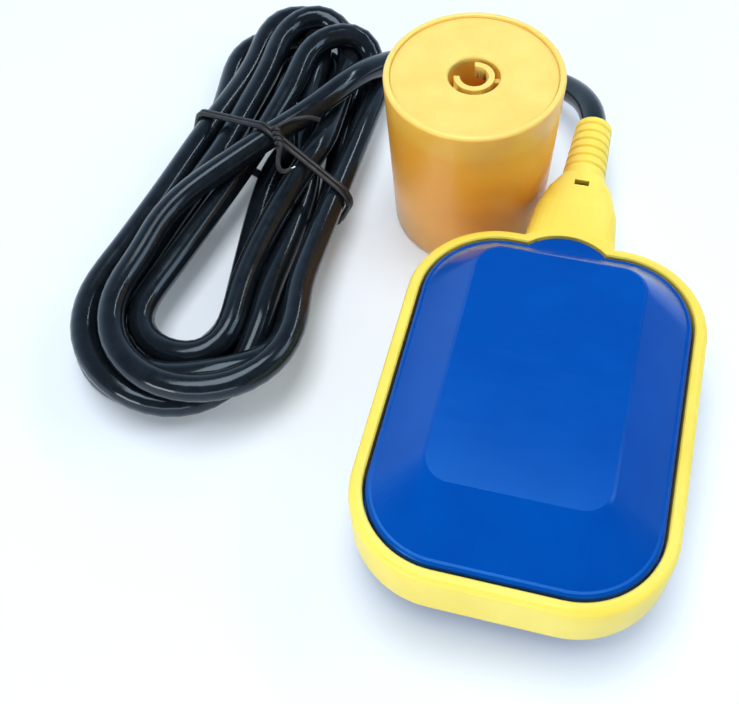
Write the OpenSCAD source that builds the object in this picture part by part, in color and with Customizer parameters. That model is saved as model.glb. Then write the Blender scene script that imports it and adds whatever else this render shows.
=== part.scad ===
// Cable float switch for a water tank: two blue shells in a moulded yellow frame with a cable gland,
// a rolling steel ball and lever switch inside, a tied hank of black cable, and its loose counterweight.
// Millimetres. The origin is the centre of the float's flat underside, +Y runs toward the cable gland.

/* [Float body] */
// Length of the yellow frame, without the gland
float_l = 108.4; // [104:0.2:114]
// Width of the yellow frame
float_w = 81.4; // [78:0.2:88]
// Thickness over the two flat faces
float_t = 40.6; // [39:0.2:46]
// Outside corner radius of the frame in plan
corner_r = 25.2; // [24:0.1:27]
// Height of the yellow side band
band_h = 17.6; // [16:0.2:20]
// Width of the yellow lip seen from above
lip_w = 3.5; // [2.8:0.1:4]
// Rounding of the frame's outer edges
edge_r = 2.2; // [1:0.1:2.6]
// Open groove between the lip and the blue shell
rim_gap = 0.7; // [0.4:0.1:1]
// Horizontal run of the sloping sides of a shell
slope_run = 14.6; // [12:0.2:16]
// How far the flats sit toward the gland, off the middle of the shells
flat_shift = 2.4; // [0:0.2:3]
// Wall thickness of the shells
shell_wall = 2.4; // [1.8:0.1:2.8]
// Radius of the round tongue at the gland end of the shells
tongue_r = 15.4; // [14:0.2:16.5]

/* [Gland] */
// Length of the flared neck beyond the frame
neck_l = 24; // [20:1:28]
// Half width of the neck where it leaves the frame
neck_w = 13.6; // [11:0.2:14.5]
// Length of the ribbed strain relief
relief_l = 24; // [20:1:40]
// Radius of the strain relief at its foot
relief_r = 6.5; // [6:0.1:7.2]
// Radius of the strain relief at its tip
relief_tip_r = 5.5; // [5.2:0.1:5.9]
// Depth of the grooves between the ribs
rib_depth = 0.7; // [0.3:0.1:0.9]

/* [Cable] */
// Outside diameter of the cable sheath
cable_d = 8; // [7:0.1:8.4]
// Radius of one coloured core
core_r = 1.1; // [0.8:0.1:1.3]
// Bare length of the cores at the far end
core_end_l = 12; // [8:1:20]
// Height of the tied hank
hank_h = 26; // [22:1:30]
// Radius of the hank's round ends
hank_r = 32; // [29:0.5:34]
// Thickness of the tie around the hank
tie_t = 1.2; // [0.8:0.1:1.6]

/* [Counterweight] */
// Diameter of the counterweight at its rim
weight_top_d = 51.4; // [48:0.2:52]
// Diameter of the counterweight at its foot
weight_base_d = 46.4; // [44:0.2:50]
// Height of the counterweight
weight_h = 57.2; // [50:0.2:64]
// Wall thickness of the cup
weight_wall = 2; // [1.6:0.1:2.6]
// Diameter of the hole down the middle
weight_hole_d = 14.8; // [13.6:0.2:16]

/* [Switch] */
// Diameter of the rolling steel ball
ball_d = 18; // [16:0.5:19]
// Resting place of the ball along the track
ball_y = -16; // [-22:1:-8]
// Length of the switch case across the float
case_l = 27.8; // [26.6:0.1:28.2]
// Depth of the switch case along the float
case_d = 15.9; // [15.4:0.1:16.4]
// Thickness of the switch case
case_t = 10.3; // [10:0.1:10.8]
// Thickness of the spring lever
lever_t = 0.5; // [0.4:0.05:0.7]
// Radius of the plunger
plunger_r = 1.5; // [1.1:0.1:1.8]

/* [Hidden] */
$fn = 64;
eps = 0.01;
zc = float_t / 2;
hx = float_w / 2 - corner_r;
hy = float_l / 2 - corner_r;
band = band_h / 2;
lip_r = corner_r - lip_w;
skirt_r = lip_r - rim_gap;
flange_r = lip_r + 1.1;
flange_t = 1.6;
flat_r = lip_r - slope_run;
half_t = float_t / 2;
tongue_y = float_l / 2 - tongue_r + 0.1;
tongue_top = band - 0.5;
tongue_in = band - 3.6;
cable_r = cable_d / 2;
neck_y = float_l / 2;
relief_y = neck_y + neck_l + 4.5;
gland_y = relief_y + relief_l;
stub_y = float_l / 2 - 7.2;
rib_pitch = (relief_l - 3.6) / 6;
plate_top = zc - ball_d / 2;
plate_t = 2.5;
track_in = ball_d / 2 + 0.5;
track_out = track_in + 2;
track_far = -(float_l / 2 - 17.7);
track_near = 12;
roof_z = zc + ball_d / 2 + 2;
case_y = float_l / 2 - 34.2;
case_x = case_l / 2;
cavity_x = case_x - 5.3;
cover_t = 1;
pin_x = case_x - 1.6;
pin_y = case_y - 2;
lever_y = case_y - 3;
term_x = cavity_x - 2.6;
plunger_x = term_x - 2;
blade_y = case_y + 7;
post_x = case_x + 3.9;
post_y = 30;
post_r = 3.2;
term_y = case_y + 21;
wx = -34.4;
wy = 84;
w_base = weight_base_d / 2;
w_top = weight_top_d / 2;
w_hole = weight_hole_d / 2;
w_tube = w_hole + 1.8;
lid_z = weight_h - 3;
hank_a = [-105, 15];
hank_b = [-100, 120];
tie_c = [-98, 79];
tie_turn = -24;
slot_r = 7;
slot_l = 58;
pocket_y = 100;
// The cable from the gland round behind the counterweight to the hank
route = [
  [0, gland_y, zc], [-0.8, gland_y + 5.5, zc - 0.2], [-3.2, gland_y + 11.8, zc - 1.7],
  [-7.5, gland_y + 18.8, zc - 4.5], [-14, gland_y + 25.8, 12], [-23.5, gland_y + 31.8, 8.2],
  [-35.5, gland_y + 35.8, 5.7], [-49, gland_y + 37, 5.5], [-60, gland_y + 34.3, 7.5],
  [-68.5, gland_y + 27.3, 11], [-73.5, gland_y + 19.3, 15]
];

function unit(v) = v / norm(v);
function heading(p, i) =
  i == 0 ? [0, 1, 0] : i == len(p) - 1 ? unit(p[i] - p[i - 1]) : unit(unit(p[i + 1] - p[i]) + unit(p[i] - p[i - 1]));
function ring(p, i, r, n) =
  let (t = heading(p, i), s = unit(cross(t, [0, 0, 1])), u = cross(s, t))
  [for (k = [0:n - 1]) p[i] + r * (cos(360 * k / n) * s + sin(360 * k / n) * u)];

// A round tube along a list of points, as one closed skin
module tube(p, r, n = 10) {
  m = len(p);
  polyhedron(
    points = [for (i = [0:m - 1]) each ring(p, i, r, n)],
    faces = concat(
      [[for (k = [0:n - 1]) k]],
      [for (i = [0:m - 2], k = [0:n - 1])
        [i * n + k, (i + 1) * n + k, (i + 1) * n + (k + 1) % n, i * n + (k + 1) % n]],
      [[for (k = [n - 1:-1:0]) (m - 1) * n + k]]
    )
  );
}

// A straight rod with round ends between two points
module rod(a, b, r) {
  d = b - a;
  translate(a) rotate([0, acos(d[2] / norm(d)), atan2(d[1], d[0])]) {
    cylinder(r = r, h = norm(d));
    sphere(r = r);
    translate([0, 0, norm(d)]) sphere(r = r);
  }
}

// A cylinder lying along Y from y0 to y1
module along_y(r, y0, y1, x = 0, z = 0) {
  translate([x, y0, z]) rotate([-90, 0, 0]) cylinder(r = r, h = y1 - y0);
}

// A box from its two corners
module block(a, b) {
  translate(a) cube(b - a);
}

// Carries a profile round the plan of the float: x is counted from the corner centre, y is the height
module around() {
  for (c = [[hx, hy, 0], [-hx, hy, 90], [-hx, -hy, 180], [hx, -hy, 270]])
    translate([c[0], c[1], 0]) rotate([0, 0, c[2]]) rotate_extrude(angle = 90) children();
  for (a = [0, 180]) rotate([0, 0, a]) translate([hx, hy, 0]) rotate([90, 0, 0]) linear_extrude(2 * hy) children();
  for (a = [90, 270]) rotate([0, 0, a]) translate([hy, hx, 0]) rotate([90, 0, 0]) linear_extrude(2 * hx) children();
}

// A solid rounded slab with the plan of the float at a given corner radius
module slab(r, z0, z1) {
  around() translate([0, z0]) square([r, z1 - z0]);
  block([-hx, -hy, z0], [hx, hy, z1]);
}

// The sloping crown of a shell: from a rim at height z0 to the flat at height z1, off the middle
module crown(rim, flat, z0, z1, edge) {
  hull() {
    slab(rim, z0, z0 + eps);
    translate([0, flat_shift, 0]) {
      slab(flat, z1 - edge, z1 - edge + eps);
      slab(flat - edge * 1.6, z1 - eps, z1);
    }
  }
}

module shell_half() {
  difference() {
    union() {
      around() polygon([
        [skirt_r - shell_wall - 2, band - 1], [skirt_r - shell_wall, 0], [flange_r, 0], [flange_r, flange_t],
        [skirt_r, flange_t], [skirt_r, band - 0.9], [skirt_r - 0.25, band - 0.2], [skirt_r - 0.9, band + 0.4],
        [skirt_r - shell_wall - 2, band + 0.4]
      ]);
      crown(skirt_r - 1.1, flat_r + 0.35, band, half_t, 0.5);
      intersection() {
        translate([0, tongue_y, 0]) cylinder(r = tongue_r, h = tongue_top);
        block([-tongue_r, hy + skirt_r - shell_wall, 0], [tongue_r, float_l, tongue_top]);
      }
    }
    slab(skirt_r - shell_wall + 0.1, -1, band - 1.2);
    crown(skirt_r - shell_wall, flat_r - 1.2, band - 1.3, half_t - shell_wall, 0.3);
    translate([0, tongue_y, -1]) cylinder(r = tongue_r - 2.4, h = tongue_in + 1);
    along_y(cable_r, hy, float_l, 0, 0);
  }
}

module upper_shell() {
  color([0, 0.33, 0.75]) {
    translate([0, 0, zc]) shell_half();
    for (x = [-post_x, post_x], y = [-post_y, post_y])
      translate([x, y, plate_top]) cylinder(r = post_r, h = float_t - shell_wall + 0.5 - plate_top);
  }
}

module lower_shell() {
  color([0, 0.33, 0.75]) {
    translate([0, 0, zc]) mirror([0, 0, 1]) shell_half();
    for (x = [-post_x, post_x], y = [-post_y, post_y])
      translate([x, y, shell_wall - 0.5]) cylinder(r = post_r, h = plate_top - plate_t - shell_wall + 0.5);
  }
}

// One section of the neck, a box with well rounded corners
module neck_section(y, half, high, n = 32) {
  translate([0, y, zc]) rotate([90, 0, 0]) linear_extrude(0.01) polygon([
    for (k = [0:n - 1]) let (a = 360 * k / n, e = 0.55)
      [half * sign(cos(a)) * pow(abs(cos(a)), e), high * sign(sin(a)) * pow(abs(sin(a)), e)]
  ]);
}

module relief() {
  tip = relief_y + relief_l;
  g0 = relief_y + 3.2;
  slope = (relief_r - relief_tip_r) / (tip - relief_y);
  rotate([-90, 0, 0]) rotate_extrude() polygon(concat(
    [[0, relief_y - 5.5], [relief_r, relief_y - 5.5], [relief_r, relief_y]],
    [for (i = [0:5]) let (y = g0 + i * rib_pitch, r = relief_r - slope * (y - relief_y)) each [
      [r, y], [r - rib_depth, y + 0.35], [r - rib_depth, y + 0.75], [r, y + 1.1]
    ]],
    [[relief_tip_r + 0.1, tip - 0.8], [relief_tip_r - 0.7, tip], [0, tip]]
  ));
}

// The side band's section: round outer edges, a flat lip and the groove that grips the flanges
function band_section() = concat(
  [for (k = [0:4]) [corner_r - edge_r + edge_r * sin(22.5 * k), -band + edge_r - edge_r * cos(22.5 * k)]],
  [for (k = [0:4]) [corner_r - edge_r + edge_r * cos(22.5 * k), band - edge_r + edge_r * sin(22.5 * k)]],
  [[lip_r + 0.4, band], [lip_r, band - 0.4], [lip_r, flange_t], [flange_r, flange_t],
   [flange_r, -flange_t], [lip_r, -flange_t], [lip_r, -band + 0.4], [lip_r + 0.4, -band]]
);

module float_frame() {
  window_y = neck_y + neck_l - 1.6;
  color([0.98, 0.86, 0.18]) difference() {
    union() {
      translate([0, 0, zc]) around() polygon(band_section());
      difference() {
        union() {
          translate([0, tongue_y, zc - band]) cylinder(r = tongue_r + rim_gap + 2.6, h = band_h);
          hull() {
            neck_section(float_l / 2 - 3, neck_w, band - 1);
            neck_section(neck_y + neck_l * 0.6, neck_w * 0.88, band - 1.3);
            neck_section(neck_y + neck_l - 1, neck_w * 0.7, band - 2.2);
            neck_section(neck_y + neck_l + 4, relief_r, relief_r - 0.3);
          }
        }
        slab(lip_r + 1.4, zc - band - 1, zc + band + 1);
      }
      translate([0, 0, zc]) relief();
    }
    translate([0, tongue_y, zc - band - 1]) cylinder(r = tongue_r + rim_gap, h = band_h + 2);
    along_y(cable_r, hy, gland_y + 1, 0, zc);
    translate([2.1, 0, 0]) rotate([90, 0, -90]) linear_extrude(4.2) polygon([
      [-window_y, zc], [-window_y, zc + 12], [-window_y - 2.1, zc + 12], [-window_y - 2.1, zc + band - 2.6],
      [-window_y - 4.2, zc]
    ]);
  }
}

module cable_seal() {
  color([0.2, 0.2, 0.2]) difference() {
    along_y(tongue_in, stub_y - 0.6, tongue_y + tongue_r - 3.4, 0, zc);
    along_y(cable_r, stub_y - 2, float_l, 0, zc);
  }
}

module cable_entry() {
  color([0.06, 0.06, 0.07]) along_y(cable_r, stub_y, gland_y, 0, zc);
}

module inner_core(x, z, tx) {
  rod([x, stub_y - core_r, zc + z], [tx, term_y + core_r, zc], core_r);
}

module core_brown() {
  color([0.35, 0.18, 0.08]) inner_core(1.7, -1, term_x);
}

module core_black() {
  color([0.05, 0.05, 0.05]) inner_core(0, 1.9, 0);
}

module core_blue() {
  color([0.1, 0.25, 0.7]) inner_core(-1.7, -1, -term_x);
}

module carrier() {
  color([0.9, 0.9, 0.88]) difference() {
    union() {
      block([-post_x - 3.6, track_far - 2, plate_top - plate_t], [post_x + 3.6, float_l / 2 - 15.7, plate_top]);
      for (s = [0, 1]) mirror([s, 0, 0])
        block([track_in, track_far - 2, plate_top - eps], [track_out, track_near, roof_z]);
      block([-track_out, track_far - 2, plate_top - eps], [track_out, track_far, roof_z]);
      block([-case_x, case_y + 1.5, plate_top - eps], [case_x, case_y + case_d - 1.5, zc - case_t / 2]);
    }
    for (x = [-cavity_x - 2.6, cavity_x + 2.6])
      translate([x, case_y + 4, plate_top + 0.4]) cylinder(r = 1.2, h = 20);
  }
}

module carrier_cover() {
  color([0.88, 0.88, 0.86]) difference() {
    block([-track_out, track_far - 2, roof_z], [track_out, track_near, roof_z + 1.6]);
    for (y = [track_far + 8:10:track_near - 6])
      block([-1.5, y, roof_z - 1], [1.5, y + 4, roof_z + 3]);
  }
}

module steel_ball() {
  color([0.75, 0.76, 0.78]) translate([0, ball_y, zc + 0.05]) sphere(d = ball_d);
}

module switch_case() {
  bottom = zc - case_t / 2;
  top = zc + case_t / 2 - cover_t;
  color([0.12, 0.12, 0.13]) difference() {
    union() {
      block([-case_x, case_y, bottom], [case_x, case_y + case_d, top]);
      block([case_x - 3.1, pin_y - 1.4, bottom], [case_x - 0.1, case_y + eps, zc - 3]);
      block([case_x - 3.1, pin_y - 1.4, zc + 3], [case_x - 0.1, case_y + eps, top]);
    }
    block([-cavity_x, case_y + 1.5, bottom + 0.8], [cavity_x, case_y + case_d - 1.5, top + 1]);
    for (x = [-cavity_x - 2.6, cavity_x + 2.6])
      translate([x, case_y + 4, bottom - 1]) cylinder(r = 1.25, h = case_t + 2);
    along_y(plunger_r + 0.05, case_y - 1, case_y + 2, plunger_x, zc);
    for (x = [-term_x, 0, term_x]) block([x - 0.4, case_y + 10, zc - 2.4], [x + 0.4, float_l, zc + 2.4]);
    translate([pin_x, pin_y, zc - case_t / 2 + 0.6]) cylinder(r = 0.75, h = case_t);
  }
}

module switch_cover() {
  color([0.14, 0.14, 0.15]) difference() {
    block([-case_x, case_y, zc + case_t / 2 - cover_t], [case_x, case_y + case_d, zc + case_t / 2]);
    for (x = [-cavity_x - 2.6, cavity_x + 2.6])
      translate([x, case_y + 4, zc]) cylinder(r = 1.25, h = case_t);
  }
}

module screw(x) {
  head = zc + case_t / 2;
  translate([x, case_y + 4, plate_top + 0.4]) cylinder(r = 1.2, h = head - plate_top - 0.4 + eps);
  difference() {
    translate([x, case_y + 4, head]) cylinder(r = 2.3, h = 1.5);
    block([x - 3, case_y + 3.7, head + 0.8], [x + 3, case_y + 4.3, head + 2]);
  }
}

module switch_screw_left() {
  color([0.7, 0.7, 0.72]) screw(-cavity_x - 2.6);
}

module switch_screw_right() {
  color([0.7, 0.7, 0.72]) screw(cavity_x + 2.6);
}

module lever_pin() {
  color([0.7, 0.7, 0.72]) translate([pin_x, pin_y, zc - case_t / 2 + 0.6])
    cylinder(r = 0.75, h = case_t - cover_t - 0.6);
}

module lever() {
  color([0.72, 0.73, 0.75]) difference() {
    union() {
      translate([pin_x, pin_y, zc - 2.25]) cylinder(r = 1.3, h = 4.5);
      block([-case_x - 0.1, lever_y, zc - 2.25], [pin_x, lever_y + lever_t, zc + 2.25]);
    }
    translate([pin_x, pin_y, zc - 4]) cylinder(r = 0.82, h = 8);
  }
}

module plunger() {
  tip = lever_y + lever_t + 0.1;
  color([0.75, 0.1, 0.1]) {
    translate([plunger_x, tip + plunger_r, zc]) sphere(r = plunger_r);
    along_y(plunger_r, tip + plunger_r, blade_y - 0.9, plunger_x, zc);
  }
}

module terminal_com() {
  color([0.8, 0.65, 0.3]) block([term_x - 0.4, blade_y - 1, zc - 2.4], [term_x + 0.4, term_y, zc + 2.4]);
}

module terminal_no() {
  color([0.8, 0.65, 0.3]) {
    block([-term_x - 0.4, blade_y + 2.5, zc - 2.4], [-term_x + 0.4, term_y, zc + 2.4]);
    along_y(1, blade_y + 1.2, blade_y + 2.6, -term_x, zc);
  }
}

module terminal_nc() {
  color([0.8, 0.65, 0.3]) {
    block([-0.4, blade_y + 6, zc - 2.4], [0.4, term_y, zc + 2.4]);
    block([-0.4, blade_y - 2.5, zc - 4], [0.4, blade_y + 6.5, zc - 1.9]);
    block([-term_x - 1.4, blade_y - 2.5, zc - 4], [0.4, blade_y - 1.9, zc + 1.8]);
    along_y(1, blade_y - 2, blade_y - 1.2, -term_x, zc);
  }
}

module contact_blade() {
  color([0.85, 0.6, 0.35]) {
    block([-term_x - 1.5, blade_y, zc - 1.5], [term_x - 0.4, blade_y + 0.3, zc + 1.5]);
    along_y(1.1, blade_y - 0.9, blade_y + 0.9, -term_x, zc);
  }
}

module weight_at() {
  translate([wx, wy, 0]) children();
}

function wall_r(z) = w_base + (w_top - w_base) * z / weight_h;

module weight_cup() {
  color([0.96, 0.62, 0.16]) weight_at() rotate_extrude() polygon([
    [w_hole, 0.8], [w_hole + 0.8, 0], [w_base - 1.2, 0], [w_base - 0.3, 0.4], [wall_r(1.2), 1.2],
    [wall_r(weight_h - 0.7), weight_h - 0.7], [w_top - 0.6, weight_h], [w_top - weight_wall + 0.3, weight_h],
    [wall_r(weight_h - 0.5) - weight_wall, weight_h - 0.5], [wall_r(2.5) - weight_wall, 2.5],
    [w_tube, 2.5], [w_tube, lid_z], [w_hole, lid_z]
  ]);
}

module weight_lid() {
  skirt = lid_z - 7;
  out_top = wall_r(lid_z + 2.2) - weight_wall - 0.05;
  color([0.98, 0.78, 0.36]) weight_at() rotate_extrude() polygon([
    [w_hole, lid_z], [wall_r(lid_z) - weight_wall - 1.9, lid_z], [wall_r(skirt) - weight_wall - 1.5, skirt],
    [wall_r(skirt) - weight_wall - 0.05, skirt], [out_top, lid_z + 2.2], [w_hole + 0.6, lid_z + 2.2],
    [w_hole, lid_z + 1.6]
  ]);
}

module weight_ballast() {
  high = weight_h - 18;
  color([0.35, 0.35, 0.36]) weight_at() rotate_extrude() polygon([
    [w_tube + 0.2, 2.5], [wall_r(2.5) - weight_wall - 0.2, 2.5], [wall_r(high) - weight_wall - 0.2, high],
    [w_tube + 0.2, high]
  ]);
}

module cable_clip() {
  out = cable_r + 1.75;
  z0 = lid_z - 2.4;
  color([0.97, 0.66, 0.2]) weight_at() {
    translate([0, 0, z0]) rotate([0, 0, 190]) rotate_extrude(angle = 270)
      translate([cable_r + 0.05, 0]) square([out - cable_r - 0.05, 4]);
    for (a = [20, 215, 290]) rotate([0, 0, a]) block([out - 0.3, -0.8, z0], [w_hole, 0.8, z0 + 1.4]);
  }
}

module cable_run() {
  color([0.05, 0.05, 0.06]) tube(route, cable_r);
}

// The plan of a hank between two centres, with round ends made of short straight sides
function hank_outline(a, b, r, n = 12) =
  let (t = atan2(b[1] - a[1], b[0] - a[0]))
  concat(
    [for (k = [0:n]) b + r * [cos(t - 90 + 180 * k / n), sin(t - 90 + 180 * k / n)]],
    [for (k = [0:n]) a + r * [cos(t + 90 + 180 * k / n), sin(t + 90 + 180 * k / n)]]
  );

module cable_hank() {
  along = (hank_b - hank_a) / norm(hank_b - hank_a);
  color([0.05, 0.05, 0.06]) linear_extrude(hank_h) difference() {
    polygon(hank_outline(hank_a, hank_b, hank_r));
    polygon(hank_outline(hank_a, hank_a + (slot_l - slot_r) * along, slot_r));
    translate([hank_b[0] + 3 - slot_r, pocket_y]) square([2 * slot_r, core_end_l + 4]);
  }
}

module tie_plan() {
  intersection() {
    polygon(hank_outline(hank_a, hank_b, hank_r + tie_t));
    translate(tie_c) rotate(tie_turn) square([120, 4], center = true);
  }
}

module bundle_tie() {
  color([0.04, 0.04, 0.04]) {
    linear_extrude(hank_h) difference() {
      tie_plan();
      polygon(hank_outline(hank_a, hank_b, hank_r));
    }
    translate([0, 0, hank_h]) linear_extrude(tie_t) tie_plan();
  }
}

module end_core(dx) {
  along_y(core_r, pocket_y, pocket_y + core_end_l, hank_b[0] + 3 + dx, cable_r);
}

module end_core_brown() {
  color([0.35, 0.18, 0.08]) end_core(-3);
}

module end_core_blue() {
  color([0.1, 0.25, 0.7]) end_core(0);
}

module end_core_black() {
  color([0.05, 0.05, 0.05]) end_core(3);
}

float_frame();
upper_shell();
lower_shell();
cable_seal();
cable_entry();
core_brown();
core_blue();
core_black();
carrier();
carrier_cover();
steel_ball();
switch_case();
switch_cover();
switch_screw_left();
switch_screw_right();
lever_pin();
lever();
plunger();
terminal_com();
terminal_no();
terminal_nc();
contact_blade();
weight_cup();
weight_lid();
weight_ballast();
cable_clip();
cable_run();
cable_hank();
bundle_tie();
end_core_brown();
end_core_blue();
end_core_black();
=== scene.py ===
from math import cos, pi, radians, sin

import bpy
import numpy as np
from mathutils import Matrix, Vector


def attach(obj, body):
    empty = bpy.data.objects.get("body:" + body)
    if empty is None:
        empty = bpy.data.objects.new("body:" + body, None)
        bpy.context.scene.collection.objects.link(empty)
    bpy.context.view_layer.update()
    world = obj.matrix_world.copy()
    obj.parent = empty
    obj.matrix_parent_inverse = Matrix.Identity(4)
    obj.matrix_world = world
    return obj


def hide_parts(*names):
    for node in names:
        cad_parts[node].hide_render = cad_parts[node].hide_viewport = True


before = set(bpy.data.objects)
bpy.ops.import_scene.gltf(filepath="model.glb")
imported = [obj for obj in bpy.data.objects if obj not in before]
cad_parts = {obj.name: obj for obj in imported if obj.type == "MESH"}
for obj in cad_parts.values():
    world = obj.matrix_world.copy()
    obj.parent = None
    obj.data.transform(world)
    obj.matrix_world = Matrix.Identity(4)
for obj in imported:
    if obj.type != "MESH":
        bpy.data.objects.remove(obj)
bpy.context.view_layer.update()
MM = 0.001


# Camera
# The photograph is taken by hand from above the near end of the float, about 30 cm away, so the
# float's far end narrows. The lens and stand point are worked out from the float, taken as about
# 80 mm wide.

camera_data = bpy.data.cameras.new("camera")
camera_data.lens = 54.4
camera_data.sensor_width = 36.0
camera_data.clip_start = 0.01
camera = bpy.data.objects.new("camera", camera_data)
camera.matrix_world = (
    Matrix.Translation((0.00755, -0.14883, 0.27607))
    @ Matrix.Rotation(radians(18.88), 4, "Z")
    @ Matrix.Rotation(radians(33.31), 4, "X")
    @ Matrix.Rotation(radians(-4.78), 4, "Z")
)
bpy.context.scene.collection.objects.link(camera)
bpy.context.scene.camera = camera


# Cable sheath
# A round three-core cable with a smooth black PVC sheath, 8 mm thick. It is shiny where it is
# bent, and very slightly uneven along its length.

CABLE_D = 8.0 * MM
CABLE_R = CABLE_D / 2


def new_material(name, base, roughness, metallic=0.0, coat=0.0, coat_roughness=0.1, ior=1.46):
    material = bpy.data.materials.new(name)
    material.use_nodes = True
    shader = material.node_tree.nodes["Principled BSDF"]
    shader.inputs["Base Color"].default_value = (*base, 1.0)
    shader.inputs["Roughness"].default_value = roughness
    shader.inputs["Metallic"].default_value = metallic
    shader.inputs["Coat Weight"].default_value = coat
    shader.inputs["Coat Roughness"].default_value = coat_roughness
    shader.inputs["IOR"].default_value = ior
    return material, material.node_tree, shader


def add_noise(tree, scale, detail=3.0, stretch=None):
    place = tree.nodes.new("ShaderNodeTexCoord")
    noise = tree.nodes.new("ShaderNodeTexNoise")
    noise.inputs["Scale"].default_value = scale
    noise.inputs["Detail"].default_value = detail
    if stretch:
        mapping = tree.nodes.new("ShaderNodeMapping")
        mapping.inputs["Scale"].default_value = stretch
        tree.links.new(place.outputs["Object"], mapping.inputs["Vector"])
        tree.links.new(mapping.outputs["Vector"], noise.inputs["Vector"])
    else:
        tree.links.new(place.outputs["Object"], noise.inputs["Vector"])
    return noise


def add_ramp(tree, source, stops):
    ramp = tree.nodes.new("ShaderNodeValToRGB")
    points = ramp.color_ramp.elements
    while len(points) < len(stops):
        points.new(0.5)
    for point, (position, colour) in zip(points, stops):
        point.position = position
        point.color = (*colour, 1.0)
    tree.links.new(source, ramp.inputs["Fac"])
    return ramp


def vary_colour(tree, shader, noise, low, high, start=0.35, end=0.65):
    ramp = add_ramp(tree, noise.outputs["Fac"], [(start, low), (end, high)])
    tree.links.new(ramp.outputs["Color"], shader.inputs["Base Color"])


def vary_roughness(tree, shader, noise, low, high, start=0.3, end=0.7):
    spread = tree.nodes.new("ShaderNodeMapRange")
    spread.inputs["From Min"].default_value = start
    spread.inputs["From Max"].default_value = end
    spread.inputs["To Min"].default_value = low
    spread.inputs["To Max"].default_value = high
    tree.links.new(noise.outputs["Fac"], spread.inputs["Value"])
    tree.links.new(spread.outputs["Result"], shader.inputs["Roughness"])


def add_bump(tree, shader, noise, height, strength=0.5):
    bump = tree.nodes.new("ShaderNodeBump")
    bump.inputs["Strength"].default_value = strength
    bump.inputs["Distance"].default_value = height
    tree.links.new(noise.outputs["Fac"], bump.inputs["Height"])
    tree.links.new(bump.outputs["Normal"], shader.inputs["Normal"])


sheath, sheath_tree, sheath_shader = new_material("black_sheath", (0.007, 0.009, 0.012), 0.2)
sheath_marks = add_noise(sheath_tree, 260.0, 4.0)
vary_colour(sheath_tree, sheath_shader, sheath_marks, (0.006, 0.009, 0.013), (0.009, 0.013, 0.019))
vary_roughness(sheath_tree, sheath_shader, sheath_marks, 0.12, 0.17)
add_bump(sheath_tree, sheath_shader, sheath_marks, 0.00002, 0.12)
# Its reflections are tinted slate blue, a painted reflection colour for the cool room light
sheath_shader.inputs["Specular Tint"].default_value = (0.66, 0.84, 1.0, 1.0)

# The free cable
# The cable leaves the strain relief, drops to the bench behind the counterweight and climbs onto
# its own hank: five and a half turns wound by hand, pinched at the waist by the tie.

run_route = [
    (0, 106.7, 20.3), (-0.8, 112.2, 20.1), (-3.2, 118.5, 18.6), (-7.5, 125.5, 15.8), (-14, 132.5, 12),
    (-23.5, 138.5, 8.2), (-35.5, 142.5, 5.7), (-49, 143.7, 5.5), (-60, 141, 7.5), (-68.5, 134, 11),
    (-73.5, 126, 15), (-77, 117, 20), (-80.5, 108, 22.3), (-86, 97.5, 22.3), (-91.5, 88.5, 22.3),
    (-98.5, 79.5, 22), (-108, 65.5, 21.5), (-116.5, 52.5, 21), (-121, 41, 20.5),
]
WAIST_Y = 79.0
# Every turn: fold at the foot, right side at the waist, fold at the head, left side at the waist
hank_turns = [
    ((-97.5, 15.0), 27.0, (19.0, 17.0), (-73.5, 13.0), (-84.8, 121.0), 14.5, (12.5, 16.5), (-104.5, 13.5)),
    ((-102.0, 15.0), 16.5, (12.0, 12.0), (-86.0, 11.5), (-97.0, 129.0), 15.5, (9.0, 13.0), (-114.5, 13.0)),
    ((-104.5, 17.0), 25.0, (12.5, 8.0), (-79.0, 4.1), (-101.5, 134.0), 16.0, (5.0, 9.5), (-124.0, 11.0)),
    ((-107.5, 15.5), 25.5, (11.0, 8.0), (-86.0, 7.0), (-111.5, 127.5), 16.5, (10.0, 4.1), (-122.0, 4.1)),
    ((-109.5, 15.0), 26.5, (4.1, 4.1), (-93.5, 4.1), (-100.0, 126.0), 14.0, (4.1, 4.1), (-114.0, 4.1)),
    ((-106.0, 20.0), 16.5, (4.1, 4.1), (-96.5, 4.1), None, 0.0, None, None),
]


def fold(middle, radius, start_deg, heights):
    """A fold of the hank, a little over half a turn, going from one height to the other."""
    angles = [radians(start_deg - 28 + 236 * f) for f in np.linspace(0, 1, 15)]
    return [(middle[0] + radius * cos(a), middle[1] + radius * sin(a), float(z))
            for a, z in zip(angles, np.linspace(*heights, 15))]


winding = []
for foot, foot_r, foot_z, right, head, head_r, head_z, left in hank_turns:
    winding += fold(foot, foot_r, 180, foot_z) + [(right[0], WAIST_Y, right[1])]
    if head:
        winding += fold(head, head_r, 0, head_z) + [(left[0], WAIST_Y, left[1])]
free_end = [(-97, 90, 4.1), (-97, 100, 4.1)]


def smooth_path(points, spacing, rounds=3):
    """Points a fixed distance apart along the given ones, with the corners eased as cable eases them."""
    points = np.array(points, float)
    walked = np.concatenate([[0], np.cumsum(np.linalg.norm(np.diff(points, axis=0), axis=1))])
    steps = np.linspace(0, walked[-1], max(3, int(walked[-1] / spacing) + 1))
    path = np.column_stack([np.interp(steps, walked, points[:, axis]) for axis in range(3)])
    for _ in range(rounds):
        path[1:-1] = path[1:-1] / 2 + (path[2:] + path[:-2]) / 4
    return path


# How hard strands push each other, are drawn back to their route, and are evened out along it
PUSH = 0.35
DRAW_BACK = 0.01
EVEN_OUT = 0.3


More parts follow.
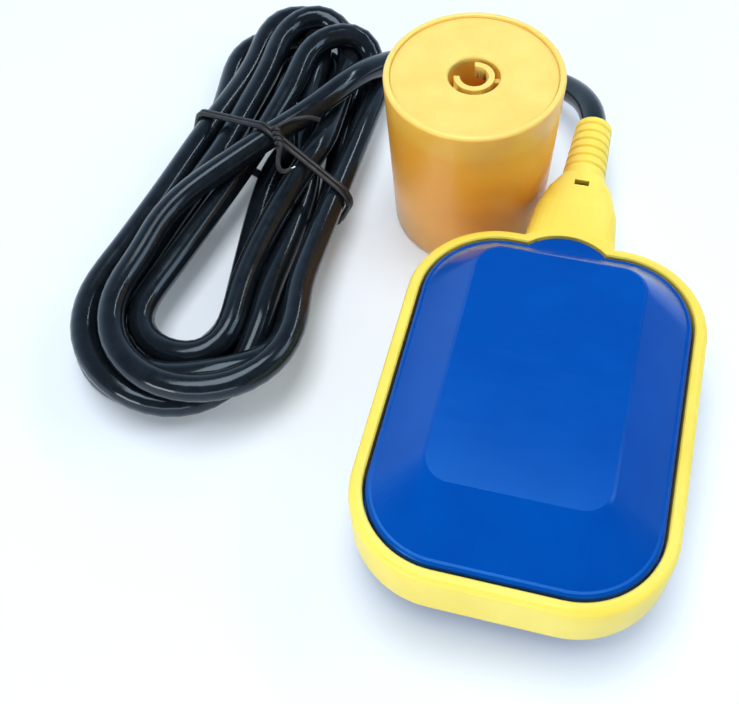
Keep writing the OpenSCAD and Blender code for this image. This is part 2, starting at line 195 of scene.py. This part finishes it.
def settle(path, thickness, rounds, held):
    """Pushes strands that lie in each other apart and keeps them on the bench, as hands do."""
    path = path.copy()
    wanted = path.copy()
    count = len(path)
    apart = np.abs(np.subtract.outer(np.arange(count), np.arange(count)))
    near_by = apart < 7
    for _ in range(rounds):
        gap = path[:, None, :] - path[None, :, :]
        distance = np.sqrt((gap**2).sum(2)) + 1e-6
        push = np.clip(thickness - distance, 0, None)
        push[near_by] = 0
        shift = (gap / distance[..., None] * push[..., None]).sum(1) * PUSH
        drift = path - wanted
        shift -= drift * DRAW_BACK
        shift[1:-1] += EVEN_OUT * ((drift[2:] + drift[:-2]) / 2 - drift[1:-1])
        shift[:held] = 0
        shift[-3:] = 0
        path += shift
        path[held:, 2] = np.maximum(path[held:, 2], thickness / 2)
    for _ in range(2):
        path[held:-3] = path[held:-3] / 2 + (path[held + 1:-2] + path[held - 1:-4]) / 4
    return path


STEP = 4.0
RUN_POINTS = 42  # points of the run up to the hank, which stay where they are
cable_path = smooth_path(run_route + winding + free_end, STEP)
cable_path = settle(cable_path, 8.25, 200, RUN_POINTS)


def tube_curve(name, points_mm, radius, material, body="float", closed=False, sides=4):
    curve = bpy.data.curves.new(name, "CURVE")
    curve.dimensions = "3D"
    curve.bevel_depth = radius
    curve.bevel_resolution = sides
    curve.use_fill_caps = True
    spline = curve.splines.new("POLY")
    spline.points.add(len(points_mm) - 1)
    for target, point in zip(spline.points, points_mm):
        target.co = (*(float(v) * MM for v in point), 1.0)
    spline.use_cyclic_u = closed
    spline.use_smooth = True
    piece = bpy.data.objects.new(name, curve)
    piece.data.materials.append(material)
    bpy.context.scene.collection.objects.link(piece)
    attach(piece, body)
    return piece


free_cable = tube_curve("free_cable", cable_path, CABLE_R, sheath, sides=5)
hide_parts("cable_run", "cable_hank")

# Stripped cores at the free end
# The sheath is cut back 12 mm and three stranded cores stick out for wiring, brown for the feed,
# blue and black for the switched contacts. Their PVC has a soft shine.


def dress(node_name, material, edge_mm=0.0, angle_deg=28.0, steps=3):
    """Gives a solid of the model its finish, and breaks its moulded edges where edge_mm is given."""
    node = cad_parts[node_name]
    node.data.materials.clear()
    node.data.materials.append(material)
    if edge_mm:
        weld = node.modifiers.new("weld", "WELD")
        weld.merge_threshold = 0.00001
        edges = node.modifiers.new("broken_edges", "BEVEL")
        edges.width = edge_mm * MM
        edges.segments = steps
        edges.limit_method = "ANGLE"
        edges.angle_limit = radians(angle_deg)
        edges.harden_normals = True
    return node


for core_colour, dark, light in (
    ("brown", (0.075, 0.026, 0.010), (0.11, 0.04, 0.016)),
    ("blue", (0.012, 0.06, 0.32), (0.02, 0.09, 0.42)),
    ("black", (0.010, 0.010, 0.011), (0.02, 0.02, 0.022)),
):
    core, core_tree, core_shader = new_material("core_" + core_colour, light, 0.35)
    core_marks = add_noise(core_tree, 900.0, 2.0)
    vary_colour(core_tree, core_shader, core_marks, dark, light)
    add_bump(core_tree, core_shader, core_marks, 0.00003, 0.3)
    dress("core_" + core_colour, core)
    dress("end_core_" + core_colour, core)

# Twist tie
# A ribbed strip of black plastic with a steel wire in it, passed round the whole hank, drawn in
# at its waist and twisted off by hand. One tail lies across the strands and one hooks down.

TIE_R = 0.75
TIE_MID = np.array([-98.0, WAIST_Y])
TIE_TURN = radians(-24)
TIE_ALONG = np.array([cos(TIE_TURN), sin(TIE_TURN)])

tie_finish, tie_tree, tie_shader = new_material("tie_plastic", (0.012, 0.013, 0.016), 0.42)
tie_marks = add_noise(tie_tree, 500.0, 3.0)
vary_roughness(tie_tree, tie_shader, tie_marks, 0.34, 0.52)
add_bump(tie_tree, tie_shader, tie_marks, 0.00005, 0.4)

wire_finish, _, _ = new_material("bright_wire", (0.70, 0.71, 0.73), 0.25, metallic=1.0)


def girdle(path, gap):
    """The tight closed loop round every strand that crosses the tie's upright plane."""
    across = np.array([-TIE_ALONG[1], TIE_ALONG[0]])
    near = path[np.abs((path[:, :2] - TIE_MID) @ across) < 4.5]
    spots = [((p[:2] - TIE_MID) @ TIE_ALONG, p[2]) for p in near]
    ring = [(u + gap * cos(a), max(z + gap * sin(a), TIE_R + 0.1))
            for u, z in spots for a in np.linspace(0, 2 * pi, 24, endpoint=False)]
    ring = sorted(ring)
    hull = []
    for chain in (ring, ring[::-1]):
        start = len(hull)
        for point in chain:
            while len(hull) >= start + 2:
                (ax, ay), (bx, by) = hull[-2], hull[-1]
                if (bx - ax) * (point[1] - ay) - (by - ay) * (point[0] - ax) > 0:
                    break
                hull.pop()
            hull.append(point)
        hull.pop()
    loop = np.array(hull + hull[:1])
    walked = np.concatenate([[0], np.cumsum(np.linalg.norm(np.diff(loop, axis=0), axis=1))])
    steps = np.linspace(0, walked[-1], 90, endpoint=False)
    return [(*(TIE_MID + TIE_ALONG * np.interp(w, walked, loop[:, 0])), np.interp(w, walked, loop[:, 1]))
            for w in steps]


tie_loop = np.array(girdle(cable_path, CABLE_D / MM / 2 + TIE_R))
across_tie = np.array([-TIE_ALONG[1], TIE_ALONG[0], 0.0])
STRIP_HALF = 0.7
bundle_tie = tube_curve(
    "bundle_tie_front", tie_loop - across_tie * STRIP_HALF, TIE_R * MM, tie_finish, closed=True)
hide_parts("bundle_tie")
tie_back = tube_curve(
    "bundle_tie_back", tie_loop + across_tie * STRIP_HALF, TIE_R * MM, tie_finish, closed=True)

knot_z = float(tie_loop[:, 2].max()) + 1.2
knot = np.array([-94.5, 78.5, knot_z])


def twist(start, end, turns, spread, phase):
    """One wire of a pair wound round each other along a line."""
    start, end = np.array(start), np.array(end)
    line = (end - start) / np.linalg.norm(end - start)
    side = np.cross(line, [0, 0, 1.0])
    side /= np.linalg.norm(side)
    up = np.cross(side, line)
    return [start + (end - start) * f
            + spread * (cos(2 * pi * turns * f + phase) * side + sin(2 * pi * turns * f + phase) * up)
            for f in np.linspace(0, 1, 30)]


twist_end = knot + [4.0, -8.0, 0.2]
for number, phase in enumerate((0.0, pi)):
    tube_curve(
        f"tie_twist_{number}", twist(knot, twist_end, 2.0, 0.8, phase), TIE_R * MM, tie_finish)
tail_across = smooth_path([knot, knot + [4, 4.2, 0.3], knot + [9, 6.6, 0.1], knot + [12, 7.2, -1.2]], 0.8)
tail_down = smooth_path([twist_end, twist_end + [0.6, -4.5, 0], twist_end + [2.0, -8.2, -0.4],
                         twist_end + [4.4, -9.0, -0.2], twist_end + [6.0, -7.4, 0.4]], 0.8)
tube_curve("tie_tail_across", tail_across, TIE_R * MM, tie_finish)
tube_curve("tie_tail_down", tail_down, TIE_R * MM, tie_finish)
wire_tip = twist_end + [6.0, -7.4, 0.4]
WIRE_R = 0.28
tube_curve(
    "tie_wire_tip", [wire_tip, wire_tip + [0.9, 0.7, 0.3]], WIRE_R * MM, wire_finish)

# Cable in the gland
# The last 60 mm of the cable is fixed inside the moulded neck, where the small window shows it,
# and a rubber seal grips it between the two shells.

dress("cable_entry", sheath)
seal_rubber, seal_tree, seal_shader = new_material("seal_rubber", (0.02, 0.02, 0.02), 0.7)
seal_marks = add_noise(seal_tree, 700.0, 4.0)
add_bump(seal_tree, seal_shader, seal_marks, 0.00008, 0.5)
dress("cable_seal", seal_rubber, 0.2)

# Blue shells
# Two injection-moulded polypropylene halves, welded at the middle. The deep blue is glossy, with
# faint handling marks; the raised flats are left bare.

shell_blue, shell_tree, shell_shader = new_material("shell_blue", (0.0, 0.078, 0.44), 0.2)
shell_shader.inputs["Specular Tint"].default_value = (0.12, 0.50, 1.0, 1.0)
shell_marks = add_noise(shell_tree, 70.0, 5.0)
vary_colour(shell_tree, shell_shader, shell_marks, (0.0, 0.066, 0.40), (0.0, 0.074, 0.43))
scratches = add_noise(shell_tree, 300.0, 4.0, stretch=(0.25, 1.6, 1.0))
vary_roughness(shell_tree, shell_shader, scratches, 0.19, 0.24, 0.4, 0.75)
add_bump(shell_tree, shell_shader, scratches, 0.00001, 0.25)
dress("upper_shell", shell_blue, 0.5, 20.0)
dress("lower_shell", shell_blue, 0.5, 20.0)

# Inside the float
# A natural white carrier holds the ball's track and the snap switch. None of it shows once the
# shells are welded, so its finishes are plain workshop ones: moulded plastic, zinc, brass, steel.


def plain_finish(name, dark, light, roughness, scale, metallic=0.0, bump=0.00003):
    material, tree, shader = new_material(name, light, roughness, metallic=metallic)
    marks = add_noise(tree, scale, 4.0)
    vary_colour(tree, shader, marks, dark, light)
    vary_roughness(tree, shader, marks, roughness * 0.85, min(1.0, roughness * 1.25))
    add_bump(tree, shader, marks, bump, 0.3)
    return material


carrier_white = plain_finish("carrier_white", (0.66, 0.66, 0.62), (0.74, 0.74, 0.70), 0.45, 120.0)
switch_black = plain_finish("switch_black", (0.018, 0.018, 0.02), (0.03, 0.03, 0.033), 0.5, 400.0)
zinc = plain_finish("zinc_plate", (0.50, 0.51, 0.53), (0.62, 0.63, 0.65), 0.32, 500.0, metallic=1.0)
ball_steel = plain_finish("ball_steel", (0.58, 0.59, 0.61), (0.66, 0.67, 0.69), 0.1, 90.0, metallic=1.0)
brass = plain_finish("contact_brass", (0.55, 0.36, 0.12), (0.66, 0.45, 0.17), 0.3, 600.0, metallic=1.0)
plunger_red = plain_finish("plunger_red", (0.36, 0.02, 0.015), (0.45, 0.03, 0.02), 0.4, 700.0)
for node_name, finish, edge in (
    ("carrier", carrier_white, 0.3), ("carrier_cover", carrier_white, 0.3), ("steel_ball", ball_steel, 0),
    ("switch_case", switch_black, 0.25), ("switch_cover", switch_black, 0.2),
    ("switch_screw_left", zinc, 0.1), ("switch_screw_right", zinc, 0.1), ("lever_pin", zinc, 0),
    ("lever", zinc, 0.08), ("plunger", plunger_red, 0), ("terminal_com", brass, 0.08),
    ("terminal_no", brass, 0.08), ("terminal_nc", brass, 0.08), ("contact_blade", brass, 0.05),
):
    dress(node_name, finish, edge)

# Yellow frame
# One soft thermoplastic moulding, shot round the welded shells: the side band with its raised
# lips, the flared neck with its window, and the ribbed strain relief. Satin lemon yellow.

frame_yellow, frame_tree, frame_shader = new_material("frame_yellow", (0.95, 0.76, 0.06), 0.38)
frame_marks = add_noise(frame_tree, 45.0, 4.0)
vary_colour(frame_tree, frame_shader, frame_marks, (0.95, 0.75, 0.09), (0.99, 0.82, 0.13))
frame_grain = add_noise(frame_tree, 900.0, 3.0)
vary_roughness(frame_tree, frame_shader, frame_grain, 0.33, 0.46)
add_bump(frame_tree, frame_shader, frame_grain, 0.00003, 0.35)
frame_shader.inputs["Subsurface Weight"].default_value = 0.15
frame_shader.inputs["Subsurface Radius"].default_value = (0.004, 0.0025, 0.001)
frame_shader.inputs["Subsurface Scale"].default_value = 1.0
dress("float_frame", frame_yellow, 0.25, 32.0, 2)

# Counterweight
# A slightly see-through orange cup with a cast ballast ring inside. Its colour is painted by height:
# painted shade over the ballast, painted light through the paler empty top fifth and its top edge. The lid
# is pressed in flush and has the cable clip.

CUP_TOP = 0.0572


def glow(shader, weight, spread):
    shader.inputs["Subsurface Weight"].default_value = weight
    shader.inputs["Subsurface Radius"].default_value = spread
    shader.inputs["Subsurface Scale"].default_value = 1.0


cup_orange, cup_tree, cup_shader = new_material("cup_orange", (0.86, 0.36, 0.03), 0.3, coat=0.2)
cup_place = cup_tree.nodes.new("ShaderNodeTexCoord")
cup_split = cup_tree.nodes.new("ShaderNodeSeparateXYZ")
cup_tree.links.new(cup_place.outputs["Object"], cup_split.inputs["Vector"])
cup_height = cup_tree.nodes.new("ShaderNodeMapRange")
cup_height.inputs["From Max"].default_value = CUP_TOP
cup_tree.links.new(cup_split.outputs["Z"], cup_height.inputs["Value"])
# Painted light by height: darker painted shade over the ballast, paler painted glow above it, palest at
# the top edge
cup_painted_glow_shade = add_ramp(cup_tree, cup_height.outputs["Result"], [
    (0.0, (1.0, 0.46, 0.10)), (0.66, (1.0, 0.41, 0.035)), (0.82, (1.0, 0.43, 0.04)),
    (0.87, (1.0, 0.50, 0.06)), (0.985, (1.0, 0.52, 0.07)), (1.0, (1.0, 0.74, 0.20)),
])
cup_marks = add_noise(cup_tree, 40.0, 4.0)
cup_cloud = add_ramp(
    cup_tree, cup_marks.outputs["Fac"], [(0.3, (0.93, 0.93, 0.93)), (0.7, (1.0, 1.0, 1.0))])
cup_mix = cup_tree.nodes.new("ShaderNodeMix")
cup_mix.data_type = "RGBA"
cup_mix.blend_type = "MULTIPLY"
cup_mix.inputs["Factor"].default_value = 1.0
cup_tree.links.new(cup_painted_glow_shade.outputs["Color"], cup_mix.inputs["A"])
cup_tree.links.new(cup_cloud.outputs["Color"], cup_mix.inputs["B"])
cup_tree.links.new(cup_mix.outputs["Result"], cup_shader.inputs["Base Color"])
vary_roughness(cup_tree, cup_shader, cup_marks, 0.26, 0.38)
add_bump(cup_tree, cup_shader, cup_marks, 0.00008, 0.2)
glow(cup_shader, 0.35, (0.006, 0.003, 0.001))
dress("weight_cup", cup_orange, 0.3, 28.0)

lid_orange, lid_tree, lid_shader = new_material("lid_orange", (0.95, 0.60, 0.13), 0.36)
lid_marks = add_noise(lid_tree, 120.0, 5.0)
vary_colour(lid_tree, lid_shader, lid_marks, (0.96, 0.68, 0.17), (0.98, 0.74, 0.20))
vary_roughness(lid_tree, lid_shader, lid_marks, 0.3, 0.44)
add_bump(lid_tree, lid_shader, lid_marks, 0.00005, 0.25)
glow(lid_shader, 0.3, (0.006, 0.003, 0.001))
dress("weight_lid", lid_orange, 0.2, 28.0)
dress("cable_clip", lid_orange, 0.25, 28.0)
dress("weight_ballast", plain_finish("cast_ballast", (0.06, 0.055, 0.05), (0.11, 0.10, 0.09), 0.75, 300.0,
                                     bump=0.0002))

# Bench and light
# A white bench top under a broad ceiling lamp, with a narrow strip behind, a window at the right,
# weaker fills in front and the room's own cool light. A faint glow, seen only directly and in
# reflections, whitens the bench, so its shadows stay.

bpy.ops.mesh.primitive_plane_add(size=6.0, location=(0, 0, 0))
bench = bpy.context.object
bench.name = "bench"
bench_white, bench_tree, bench_shader = new_material("bench_white", (0.74, 0.82, 0.93), 0.6)
bench_out = bench_tree.nodes["Material Output"]
bench_glow = bench_tree.nodes.new("ShaderNodeEmission")
bench_glow.inputs["Color"].default_value = (0.86, 0.95, 1.0, 1.0)
bench_rays = bench_tree.nodes.new("ShaderNodeLightPath")
seen = bench_tree.nodes.new("ShaderNodeMath")
seen.operation = "MAXIMUM"
bench_tree.links.new(bench_rays.outputs["Is Camera Ray"], seen.inputs[0])
bench_tree.links.new(bench_rays.outputs["Is Glossy Ray"], seen.inputs[1])
lift = bench_tree.nodes.new("ShaderNodeMath")
lift.operation = "MULTIPLY"
lift.inputs[1].default_value = 0.16
bench_tree.links.new(seen.outputs["Value"], lift.inputs[0])
bench_tree.links.new(lift.outputs["Value"], bench_glow.inputs["Strength"])
bench_both = bench_tree.nodes.new("ShaderNodeAddShader")
bench_tree.links.new(bench_shader.outputs["BSDF"], bench_both.inputs[0])
bench_tree.links.new(bench_glow.outputs["Emission"], bench_both.inputs[1])
bench_tree.links.new(bench_both.outputs["Shader"], bench_out.inputs["Surface"])
bench.data.materials.append(bench_white)


def window(name, place, aim, width, height, power, colour):
    light = bpy.data.lights.new(name, "AREA")
    light.shape = "RECTANGLE"
    light.size, light.size_y = width, height
    light.energy = power
    light.color = colour
    lamp = bpy.data.objects.new(name, light)
    lamp.location = place
    lamp.rotation_euler = (Vector(aim) - Vector(place)).to_track_quat("-Z", "Y").to_euler()
    bpy.context.scene.collection.objects.link(lamp)


window("ceiling", (-0.15, 0.05, 1.25), (-0.05, 0.04, 0.0), 1.0, 0.6, 12.0, (1.0, 0.975, 0.94))
window("strip", (0.52, 0.78, 0.78), (-0.05, 0.05, 0.02), 0.9, 0.05, 2.2, (1.0, 0.99, 0.97))
window("window_right", (1.05, 0.35, 0.75), (0.0, 0.05, 0.02), 0.5, 0.7, 4.0, (0.84, 0.93, 1.0))
window("fill_front", (0.15, -1.25, 0.24), (-0.02, 0.0, 0.02), 1.2, 0.3, 4.0, (0.93, 0.96, 1.0))
window("fill_left", (-0.60, -1.05, 0.30), (-0.034, 0.084, 0.03), 0.5, 0.3, 4.6, (1.0, 0.93, 0.84))

world = bpy.data.worlds.new("room")
bpy.context.scene.world = world
world.use_nodes = True
world_tree = world.node_tree
world_place = world_tree.nodes.new("ShaderNodeTexCoord")
world_side = world_tree.nodes.new("ShaderNodeVectorMath")
world_side.operation = "DOT_PRODUCT"
world_side.inputs[1].default_value = (-0.45, 0.55, -0.70)
world_tree.links.new(world_place.outputs["Generated"], world_side.inputs[0])
world_reach = world_tree.nodes.new("ShaderNodeMapRange")
world_reach.inputs["From Min"].default_value = -0.2
world_reach.inputs["From Max"].default_value = 0.6
world_tree.links.new(world_side.outputs["Value"], world_reach.inputs["Value"])
world_wall = add_ramp(world_tree, world_reach.outputs["Result"], [
    (0.0, (0.10, 0.12, 0.15)), (0.45, (0.30, 0.41, 0.55)), (1.0, (0.66, 0.86, 1.0)),
])
world_tree.links.new(world_wall.outputs["Color"], world_tree.nodes["Background"].inputs["Color"])
world_tree.nodes["Background"].inputs["Strength"].default_value = 1.3

scene = bpy.context.scene
scene.view_settings.view_transform = "Standard"
